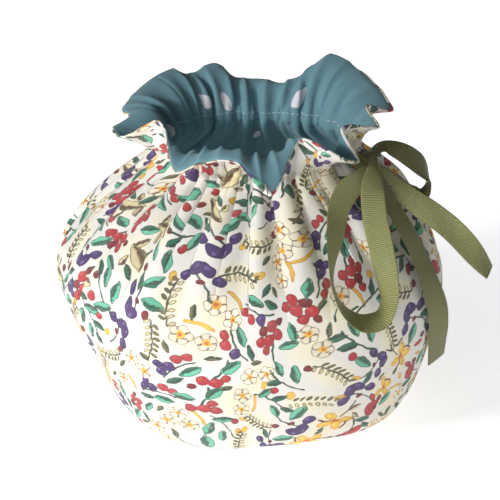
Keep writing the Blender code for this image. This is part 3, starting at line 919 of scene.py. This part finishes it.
def inside(kind, along, over, length, width):
    """Millimetres inside a mark at places along it and over it; less than 0 outside."""
    a, b = length / 2, width / 2
    if kind == "leaf":
        radius = (a * a + b * b) / (2 * b)
        return radius - np.hypot(along, np.abs(over) + radius - b)
    if kind == "stem":
        bent = over - STEM_BEND * length * (1 - (along / a) ** 2)
        return b - np.hypot(np.maximum(np.abs(along) - a, 0), bent)
    if kind == "heart":
        right, up = turned(along, np.abs(over) - 0.44 * b, -HEART_LEAN)
        return oval(right + 0.04 * a, up, a, 0.6 * b)
    if kind == "crescent":
        return np.minimum(oval(along, over, a, b), -oval(along, over + 0.75 * b, a, 0.85 * b))
    if kind == "blossom":
        petal = 0.74 + 0.26 * np.abs(np.cos(2.5 * np.arctan2(over, along))) ** 0.7
        return a * petal - np.hypot(along, over)
    return oval(along, over, a, b)


class Print:
    """Printed cloth under the brush. Each point holds its ground colour, an ink, that ink's edge
    colour, and how many millimetres it lies inside the topmost mark."""

    def __init__(self, cloth):
        self.u, self.v = u, v = cloth["flat_x"], cloth["flat_y"]
        self.brush_u = u + WAVER * (np.sin(v / 0.83 + 1.3 * np.sin(u / 1.7))
                                    + np.sin(v / 1.9 + u / 1.1))
        self.brush_v = v + WAVER * (np.sin(u / 0.91 + 1.3 * np.sin(v / 1.6))
                                    + np.sin(u / 2.1 - v / 1.2))
        self.wash = np.ones((*self.u.shape, 3)) * GROUND
        self.ink = self.wash.copy()
        self.edge = self.wash.copy()
        self.cover = np.full(self.u.shape, UNPAINTED)

    def local(self, x, y, reach, angle):
        """The points near a place, and where they lie along and over a mark turned by an angle."""
        near = np.nonzero((np.abs(self.u - x) < reach) & (np.abs(self.v - y) < reach))
        return near, *turned(self.brush_u[near] - x, self.brush_v[near] - y, math.radians(angle))

    def halo(self, x, y, length, width, angle):
        """A pale wash under a posy, strongest in its middle."""
        near, along, over = self.local(x, y, max(length, width), angle)
        share = np.clip(1 - np.hypot(2 * along / length, 2 * over / width), 0, 1)[:, None]
        self.wash[near] += HALO_STRENGTH * share ** HALO_FALL * (np.array(HALO) - self.wash[near])

    def mark(self, kind, ink, x, y, length, width, angle, tone=1.0):
        """One plain mark, laid over the marks that it lies deeper in."""
        near, along, over = self.local(x, y, max(length, width) / 2 + MARK_MARGIN, angle)
        deep = inside(kind, along, over, length, width)
        top = (deep >= 0) | (deep > self.cover[near])
        place = tuple(part[top] for part in near)
        self.cover[place] = deep[top]
        self.ink[place] = np.array(INKS[ink][0]) * tone
        self.edge[place] = np.array(INKS[ink][1]) * tone

    def motif(self, kind, ink, x, y, length, width, angle, tone):
        """A mark with its small parts: a leaf's dark side and midrib, the gleam on a berry or
        petal, and a blossom's lines and heart."""
        round_mark = kind in ("berry", "petal")
        self.mark("oval" if round_mark else kind, ink, x, y, length, width, angle, tone)
        turn = math.radians(angle)
        if kind == "leaf" and width > SHADED_LEAF:
            aside = 0.2 * width
            self.mark("leaf", DARK_SIDE.get(ink, ink), x - aside * math.sin(turn),
                      y + aside * math.cos(turn), 0.8 * length, 0.5 * width, angle, tone)
        if kind == "leaf" and width > VEINED_LEAF:
            vein = "brown" if ink == "sepia" else "vein"
            self.mark("stem", vein, x, y, 0.72 * length, 0.85, angle)
        if round_mark and width > GLEAMING:
            aside = 0.18 * width
            self.mark("oval", GLEAM[ink], x - aside, y + aside, 0.36 * length, 0.26 * width,
                      angle, tone)
        if kind == "blossom":
            for petal in range(PETALS):
                turn = math.radians(angle + 36.0 + 72.0 * petal)
                out = 0.3 * length
                self.mark("stem", "brown", x + out * math.cos(turn), y + out * math.sin(turn),
                          0.2 * length, 0.7, math.degrees(turn))
            for ink, share in (("ochre", 0.36), ("amber", 0.16)):
                self.mark("oval", ink, x, y, share * length, share * length, 0.0)


def scatter(sheet, chance, taken, marks, x, y, crowd):
    """Print a group of marks round a place, turned and sized by chance. A mark that would lie on
    another group's mark is left out. `taken` holds the place and reach of all marks so far."""
    turn = chance.uniform(0, 360)
    size = chance.uniform(*POSY_SIZE)
    bearing = math.radians(turn)
    fresh = []
    before = np.array(taken) if taken else np.zeros((0, 3))
    for kind, ink, along, over, length, width, angle in marks:
        place_x = x + size * (along * math.cos(bearing) - over * math.sin(bearing))
        place_y = y + size * (along * math.sin(bearing) + over * math.cos(bearing))
        length, width = length * size, width * size
        if kind == "halo":
            sheet.halo(place_x, place_y, length, width, angle + turn)
            continue
        reach = 0.25 * (length + width) if kind != "stem" else 0.3 * length
        gap = np.hypot(before[:, 0] - place_x, before[:, 1] - place_y)
        if np.any(gap < crowd * (before[:, 2] + reach)):
            continue
        fresh.append((place_x, place_y, reach))
        sheet.motif(kind, ink, place_x, place_y, length, width, angle + turn,
                    chance.uniform(*TONES))
    taken.extend(fresh)


def paint_print(name, cloth):
    """An all-over print of small posies on staggered rows, with the gaps filled by single marks."""
    chance = np.random.default_rng(PRINT_SEED + SEED_STEP * list(GORES).index(name))
    sheet = Print(cloth)
    width, height = cloth["size"]
    taken = []
    count = 0
    for row in range(int(height / POSY_RISE) + 2):
        for column in range(int(width / POSY_PITCH) + 2):
            x = (column + 0.5 * (row % 2)) * POSY_PITCH - width / 2
            x = x + chance.uniform(-1, 1) * POSY_STRAY
            y = row * POSY_RISE + chance.uniform(-1, 1) * POSY_STRAY
            posy = POSIES[POSY_ORDER[(count + POSY_SHIFT * row) % len(POSY_ORDER)]]
            scatter(sheet, chance, taken, posy, x, y, OVERLAP)
            count += 1
    for number in range(FILLER_TRIES):
        x = chance.uniform(-width / 2, width / 2)
        y = chance.uniform(0, height)
        scatter(sheet, chance, taken, FILLERS[number % len(FILLERS)], x, y, FILLER_ROOM)
    return sheet


# The lining's pale ovals. Those on the ruffle: gore, place on the flat cloth, and angle.
RUFFLE_SPOTS = (
    ("back", 45.5, 190, 52), ("back", 26, 187, 64), ("back", -33, 189, 128),
    ("front", -53, 186.5, 118), ("spout_side", -22, 188, 40), ("handle_side", -14, 176, 60),
)
SPOT_SIZE = (12.0, 6.4)

# Below the neck they stand in a half-drop repeat, each turned a little its own way.
SPOT_REPEAT = (46.0, 44.0)
SPOT_TOP = 160.0
SPOT_TURN = 1.1


def spots(name, cloth):
    """Millimetres inside the nearest of the lining's ovals."""
    across, up = SPOT_REPEAT
    half = [size / 2 for size in SPOT_SIZE]
    column = np.round(cloth["flat_x"] / across)
    drop = np.mod(column, 2) * up / 2 + up / 2
    level = np.round((cloth["flat_y"] - drop) / up)
    right = cloth["flat_x"] - column * across
    high = cloth["flat_y"] - drop - level * up
    turn = SPOT_TURN * np.sin(2.1 * column + 1.7 * level)
    deep = oval(*turned(right, high, turn), *half)
    deep = np.where(level * up + drop > SPOT_TOP, -half[1], deep)
    for gore, x, y, angle in RUFFLE_SPOTS:
        if gore == name:
            place = turned(cloth["flat_x"] - x, cloth["flat_y"] - y, math.radians(angle))
            deep = np.maximum(deep, oval(*place, *half))
    return deep


# ---------------------------------------------------------------- the cloth pieces

def mesh_area(piece):
    """The area of a piece's faces in square metres."""
    values = np.empty(len(piece.data.polygons))
    piece.data.polygons.foreach_get("area", values)
    return float(values.sum())


def declare(piece, node, size, rests_on):
    """Hide the solid part that a gathered sheet stands for; its area against its flat size is
    worked out and not kept.
    """
    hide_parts(node)
    flat = (size[0] * MM, size[1] * MM)
    min(mesh_area(piece), 0.98 * flat[0] * flat[1])


def make_printed(name, material):
    """A gore of printed cloth, with its facing turned in at the rim."""
    plain = lay_out(name, GORES[name]["cells"])
    cloth = faced(plain)
    sheet = paint_print(name, cloth)
    piece = surface("printed_" + name, drape(plain, printed_depth(cloth)), joined(cloth),
                    flat_uv(cloth), material, numbers=(("cover", sheet.cover),),
                    colours=(("wash", sheet.wash), ("ink", sheet.ink), ("edge", sheet.edge)))
    declare(piece, "outer_" + name, cloth["size"], ["floor"])


def lining_of(name):
    """A gore of lining, laid out and draped."""
    cloth = lay_out(name, GORES[name]["lining"], lining_short(GORES[name]))
    return cloth, drape(cloth, lining_depth(cloth))


def make_lining(name, material):
    """A gore of lining, its faces turned to the inside."""
    cloth, points = lining_of(name)
    piece = surface("lining_plain_" + name, points, joined(cloth)[:, ::-1], flat_uv(cloth),
                    material, numbers=(("spot", spots(name, cloth)),))
    declare(piece, "lining_" + name, cloth["size"], ["printed_" + name])


# ---------------------------------------------------------------- the casing's stitches

# The row they lie on, and a stitch's length, spacing, thickness and mesh.
STITCH_ROW = 14.35
STITCH_LONG = 2.0
STITCH_STEP = 3.0
STITCH_WIDE = 0.42
STITCH_SIDES = 8
STITCH_RINGS = 9


def stitch_line(name):
    """The lining's face along the stitched row: its places and the directions into the cosy."""
    cloth, points = lining_of(name)
    inward = -outward(points, cloth["split"])
    at = np.interp(STITCH_ROW, cloth["row"][:, 0], np.arange(len(points)))
    low = int(at)
    part = at - low
    return [grid[low] * (1 - part) + grid[low + 1] * part for grid in (points, inward)]


def stitches(line, inward):
    """Small rounded threads laid end to end along a line: each is a ball drawn out to a stitch's
    length, sunk by a third of its thickness."""
    along = steps_along(line)
    centre = np.arange(STITCH_STEP, along[-1] - STITCH_STEP / 2, STITCH_STEP)

    def read(values, at):
        return np.stack([np.interp(at, along, values[:, axis]) for axis in range(3)], axis=-1)

    first = read(line, centre - STITCH_LONG / 2)
    last = read(line, centre + STITCH_LONG / 2)
    length = np.linalg.norm(last - first, axis=1)[:, None]
    run = unit(last - first)
    out = read(inward, centre)
    out = unit(out - np.sum(out * run, axis=1)[:, None] * run)
    side = np.cross(out, run)
    polar = np.linspace(0, math.pi, STITCH_RINGS)[:, None]
    spin = np.linspace(0, 2 * math.pi, STITCH_SIDES + 1)[None, :-1]
    lengthwise = np.broadcast_to(-np.cos(polar), (STITCH_RINGS, STITCH_SIDES))
    round_part = np.sin(polar) ** 0.5 * np.cos(spin) * STITCH_WIDE / 2
    high_part = np.sin(polar) ** 0.5 * np.sin(spin) * STITCH_WIDE / 2 + STITCH_WIDE / 6
    middle = read(line, centre)
    points = (middle[:, None, None]
              + run[:, None, None] * (length[:, :, None] / 2 * lengthwise)[..., None]
              + side[:, None, None] * round_part[..., None]
              + out[:, None, None] * high_part[..., None])
    ring = np.arange(STITCH_RINGS * STITCH_SIDES).reshape(STITCH_RINGS, STITCH_SIDES)
    one = tube(ring)
    starts = np.arange(len(centre))[:, None, None] * ring.size
    return points.reshape(-1, 3), (one[None] + starts).reshape(-1, 4)


def make_stitches(material):
    """The casing's stitches all round the neck, as one piece."""
    points, quads, count = [], [], 0
    for name in GORES:
        made, faces = stitches(*stitch_line(name))
        points.append(made)
        quads.append(faces + count)
        count += len(made)
    points = np.concatenate(points)
    surface("casing_stitches", points, np.concatenate(quads), points[:, :2], material)


# ---------------------------------------------------------------- the ribbon bow

# The ribbon's width laid flat and as it hangs, slightly curved, and its thickness; and the knot.
RIBBON_WIDTH = 12.7
RIBBON_CHORD = 12.0
RIBBON_THICK = 0.55
KNOT_CENTRE = (53.4, -33.4, 147.0)
KNOT_SIZE = (9.0, 10.0, 10.0)
KNOT_TURN = -33.0
KNOT_CELLS = (48, 24)
KNOT_BLUNT = 3.5
KNOT_WAIST = 0.12
KNOT_UV = (5.0, 6.0)

# Near the knot the ribbon is drawn narrow and cupped, and the runs lean over to it.
PINCH = 0.5
PINCH_REACH = 34.0
PINCH_CUP = 1.6
LEAN = (-4.6, -9.0, 2.2)
LEAN_REACH = 62.0

# Painted light: how brightly each run's ribs are painted as if lit, and how far from the knot a
# painted shade dims them.
RUN_PAINTED_SHEEN = {"hanging_loop": 0.95, "side_loop": 0.05, "hanging_end": 0.18, "side_end": 1.2}
KNOT_SHADE_START = 4.0
KNOT_SHADE_REACH = 48.0
KNOT_SHADE_SHARE = 0.7

# Each run's middle line from the neck's axis, and the direction across the ribbon there: "turn"
# is its angle round Z from +X, and "tilt" how far it points up.
RUN_COLUMNS = ("x", "y", "z", "turn", "tilt")
RUNS = {
    "hanging_loop": (
        (60.5, -25, 143, -20, -30), (54.5, -41, 142, -12, -30), (44.5, -54.5, 138.5, 8, -28),
        (39, -65, 132.5, 25, -20), (36.5, -76, 124, 48, -12), (34.5, -86, 115, 72, -6),
        (35, -94, 105, 88, 0), (40, -98, 95, 92, 10), (49, -97.5, 88, 92, 22),
        (58.5, -93, 88.5, 98, 22), (62.5, -88, 96, 120, 10), (61.5, -82, 106, 145, 3),
        (59, -75, 117.5, 160, 5), (57, -65, 129, 163, 14), (58, -52, 139.5, 161, 24),
        (61, -38, 145, 159, 30), (62, -25, 146.5, 158, 30),
    ),
    "side_loop": (
        (60.5, -25.5, 146, 150, 0), (64, -16.5, 148, 125, 5), (69, -12.5, 148, 92, 34),
        (76.5, -12, 145, 70, 46), (84, -13, 139, 68, 40), (88.5, -14, 131, 90, 10),
        (87, -15, 125, 90, 10), (81.5, -16, 126, 90, 10), (76, -17, 131.5, 90, 10),
        (70, -18.5, 137, 95, 8), (65, -21, 141, 108, 5), (60.5, -24.5, 143.5, 125, 0),
    ),
    "hanging_end": (
        (60.5, -26, 144, -20, -30), (63.5, -38, 139.5, 15, -22), (68, -47, 130, 42, -10),
        (74, -52.5, 118, 48, -4), (80, -56, 105, 45, 0), (85.5, -58, 91, 38, 0),
        (90, -55, 77, 32, 0), (92, -48.5, 63, 32, 0), (92.8, -41, 50, 38, 0),
        (93.5, -34, 38, 44, 0),
    ),
    "side_end": (
        (60.8, -25.5, 144, 45, 58), (66.5, -30, 140, 38, 54), (73.5, -32, 133, 25, 52),
        (82, -34, 125.5, 20, 55), (90.5, -38, 119.5, 20, 52), (98.5, -42, 113, 20, 48),
        (107, -45, 104, 32, 34), (116.5, -46, 92.5, 66, 10),
    ),
}
# The mesh along a run, the places across half its section, the power that makes its faces flat,
# and its curl: how high the middle stands and how quickly that comes and goes along the rows.
SECTIONS_PER_ROW = 12
HALF_SECTION = np.array((-1.0, -0.985, -0.92, -0.6, -0.2, 0.2, 0.6, 0.92, 0.985, 1.0))
SECTION_POWER = 20
CURL = 0.35
CURL_RATE = 1.3
CURL_SHIFT = 1.7


def ribbon_run(rows, phase, tied_at_both, painted_sheen):
    """A closed slab swept along the smooth line through its rows. Across it the section is a flat
    loop with round edges, and the middle stands a little proud of the edges. Gives points, quads
    and, for each point, the millimetres across and along and how lit it is painted, with painted
    shade near the knot."""
    table = np.array(rows)
    sections = (len(rows) - 1) * SECTIONS_PER_ROW
    at = np.linspace(0, len(rows) - 1, sections + 1)
    here = through(table, at)
    line = here[:, :3]
    along = steps_along(line)
    from_knot = np.minimum(along, along[-1] - along) if tied_at_both else along
    line = line + np.array(LEAN) * (1 - ease(0, LEAN_REACH, from_knot))[:, None]
    drawn = 1 - ease(0, PINCH_REACH, from_knot)
    run = unit(np.gradient(line, axis=0))
    turn, tilt = (np.radians(here[:, RUN_COLUMNS.index(label)]) for label in ("turn", "tilt"))
    wide = np.stack((np.cos(turn) * np.cos(tilt), np.sin(turn) * np.cos(tilt), np.sin(tilt)),
                    axis=-1)
    wide = unit(wide - np.sum(wide * run, axis=1)[:, None] * run)
    out = np.cross(run, wide)
    half = HALF_SECTION
    across = np.concatenate((half, half[-2:0:-1]))
    face = np.concatenate((np.ones(len(half)), -np.ones(len(half) - 2)))
    rise = face * np.sqrt(1 - across ** SECTION_POWER) * RIBBON_THICK / 2
    swell = (CURL * np.sin(at * CURL_RATE + phase) + PINCH_CUP * drawn)[:, None] * (1 - across ** 2)
    half_wide = RIBBON_CHORD / 2 * (1 - PINCH * drawn)
    points = (line[:, None] + wide[:, None] * (across * half_wide[:, None])[:, :, None]
              + out[:, None] * (rise[None] + swell)[:, :, None])
    ring = len(across)
    number = np.arange((sections + 1) * ring).reshape(sections + 1, ring)
    top = np.arange(1, len(half) - 2)
    under = ring - top
    cap = np.stack((top, under, under - 1, top + 1), axis=-1)
    ends = np.concatenate((number[0][cap], number[-1][cap][:, ::-1]))
    uv = np.stack(np.broadcast_arrays(across * RIBBON_WIDTH / 2, along[:, None]), axis=-1)
    # Painted shade near the knot: the painted highlight is dimmed towards it.
    lit = painted_sheen * (1 - KNOT_SHADE_SHARE * (1 - ease(KNOT_SHADE_START, KNOT_SHADE_REACH, from_knot)))
    return (points.reshape(-1, 3), np.concatenate((tube(number), ends)), uv.reshape(-1, 2),
            np.repeat(lit, ring))


def knot_band():
    """The knot: a barrel round a level line along the neck, pinched in at its ends and creased by
    a few waves round it, with its ends drawn shut."""
    around_cells, along_cells = KNOT_CELLS
    round_it, along = np.meshgrid(np.linspace(0, 2 * math.pi, around_cells + 1)[:-1],
                                  np.linspace(-1, 1, along_cells + 1))
    size = np.array(KNOT_SIZE) / 2
    body = (np.sqrt(np.clip(1 - np.abs(along) ** KNOT_BLUNT, 0, 1))
            * (1 - KNOT_WAIST * np.cos(along * math.pi)))
    crease = (1 + 0.05 * np.sin(5 * round_it + 2.5 * along)
              + 0.03 * np.sin(9 * round_it - 3 * along))
    away = size[0] * np.cos(round_it) * body * crease
    up = size[2] * np.sin(round_it) * body * crease
    level = turned(away, size[1] * along, -math.radians(KNOT_TURN))
    points = np.stack((*level, up), axis=-1) + KNOT_CENTRE
    number = np.arange(round_it.size).reshape(round_it.shape)
    uv = np.stack((along * KNOT_UV[0], round_it * KNOT_UV[1]), axis=-1)
    # The knot gets none of the painted highlight: it is painted in the darker olive, a painted
    # shade.
    return points.reshape(-1, 3), tube(number), uv.reshape(-1, 2), np.zeros(round_it.size)


def make_bow(material):
    """The ribbon's runs and its knot, as one piece."""
    parts = [ribbon_run(rows, CURL_SHIFT * index, name.endswith("loop"), RUN_PAINTED_SHEEN[name])
             for index, (name, rows) in enumerate(RUNS.items())]
    parts.append(knot_band())
    starts = np.cumsum([0] + [len(part[0]) for part in parts])
    quads = np.concatenate([part[1] + start for part, start in zip(parts, starts)])
    points, uv, painted_sheen = (np.concatenate([part[index] for part in parts]) for index in (0, 2, 3))
    bow = surface("ribbon_tied_bow", points, quads, uv, material, (("painted_sheen", painted_sheen),))
    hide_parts("ribbon_bow")


# ---------------------------------------------------------------- the stage

AIM = Vector((-0.0108, 0.0042, 0.086))
CAMERA_RISE = 22.0
CAMERA_AWAY = 0.8
CAMERA_LENS = 108
CAMERA_SENSOR = 36

# Each light's place, its size across and its power.
LIGHTS = {
    "key": ((-1.12, -0.8, 0.58), 0.3, 13.2),
    "fill": ((-0.55, -1.2, 0.45), 0.6, 3.8),
    "back": ((-0.4, 0.5, 1.2), 0.4, 0.4),
}
STUDIO_LEFT = 0.17
STUDIO_RIGHT = 0.06

# The floor: half its size, its glow, and the distances over which it goes from grey to white.
FLOOR_FAR = 4.0
FLOOR_GLOW = 0.95
FLOOR_FADE = (0.12, 0.6)


def make_stage():
    """A pale floor that glows white away from the cosy."""
    mesh = bpy.data.meshes.new("floor")
    far = FLOOR_FAR
    mesh.from_pydata([(-far, -far, 0), (far, -far, 0), (far, far, 0), (-far, far, 0)], [],
                     [(0, 1, 2, 3)])
    pale = Finish("pale_floor", Roughness=0.9)
    pale.set("Base Color", pale.mix(pale.noise(8.0) * 0.2, (0.96,) * 3, (0.94,) * 3))
    away = pale.node("ShaderNodeVectorMath", {"operation": "LENGTH"}, Vector=pale.place())
    glow = pale.out(away, "Value").ramp(*FLOOR_FADE)
    pale.set("Emission Color", pale.mix(glow, (0.7,) * 3, (1.0,) * 3))
    pale.set("Emission Strength", FLOOR_GLOW)
    mesh.materials.append(pale.material)
    placed("floor", mesh)


def make_light(name, place, size, power):
    """A round lamp that faces the middle of the cosy."""
    lamp = bpy.data.lights.new(name, "AREA")
    lamp.shape = "DISK"
    lamp.size = size
    lamp.energy = power
    made = placed(name, lamp)
    made.location = place
    made.rotation_euler = (AIM - Vector(place)).to_track_quat("-Z", "Y").to_euler()


def make_world():
    """A white studio that is brighter on the left than on the right."""
    world = bpy.data.worlds.new("studio")
    world.use_nodes = True
    tree = world.node_tree
    new, link = tree.nodes.new, tree.links.new
    parts = new("ShaderNodeSeparateXYZ")
    link(new("ShaderNodeTexCoord").outputs["Generated"], parts.inputs["Vector"])
    ramp = new("ShaderNodeMapRange")
    link(parts.outputs["X"], ramp.inputs["Value"])
    for label, value in (("From Min", -1.0), ("From Max", 1.0),
                         ("To Min", STUDIO_LEFT), ("To Max", STUDIO_RIGHT)):
        ramp.inputs[label].default_value = value
    back = tree.nodes["Background"]
    back.inputs["Color"].default_value = (1, 1, 1, 1)
    link(ramp.outputs["Result"], back.inputs["Strength"])
    bpy.context.scene.world = world


def make_camera():
    """The photo's view."""
    rise = math.radians(CAMERA_RISE)
    look = Vector((0, math.cos(rise), -math.sin(rise)))
    camera = placed("camera", bpy.data.cameras.new("camera"))
    camera.data.lens = CAMERA_LENS
    camera.data.sensor_width = CAMERA_SENSOR
    camera.location = AIM - look * CAMERA_AWAY
    camera.rotation_euler = look.to_track_quat("-Z", "Y").to_euler()
    bpy.context.scene.camera = camera


def main():
    """Everything in its order."""
    make_camera()
    make_stage()
    for name, (place, size, power) in LIGHTS.items():
        make_light(name, place, size, power)
    make_world()
    bpy.context.scene.view_settings.view_transform = "Standard"
    printed = printed_cotton()
    plain = lining_cotton()
    for name in GORES:
        make_printed(name, printed)
        make_lining(name, plain)
    make_stitches(thread())
    make_bow(grosgrain())


main()
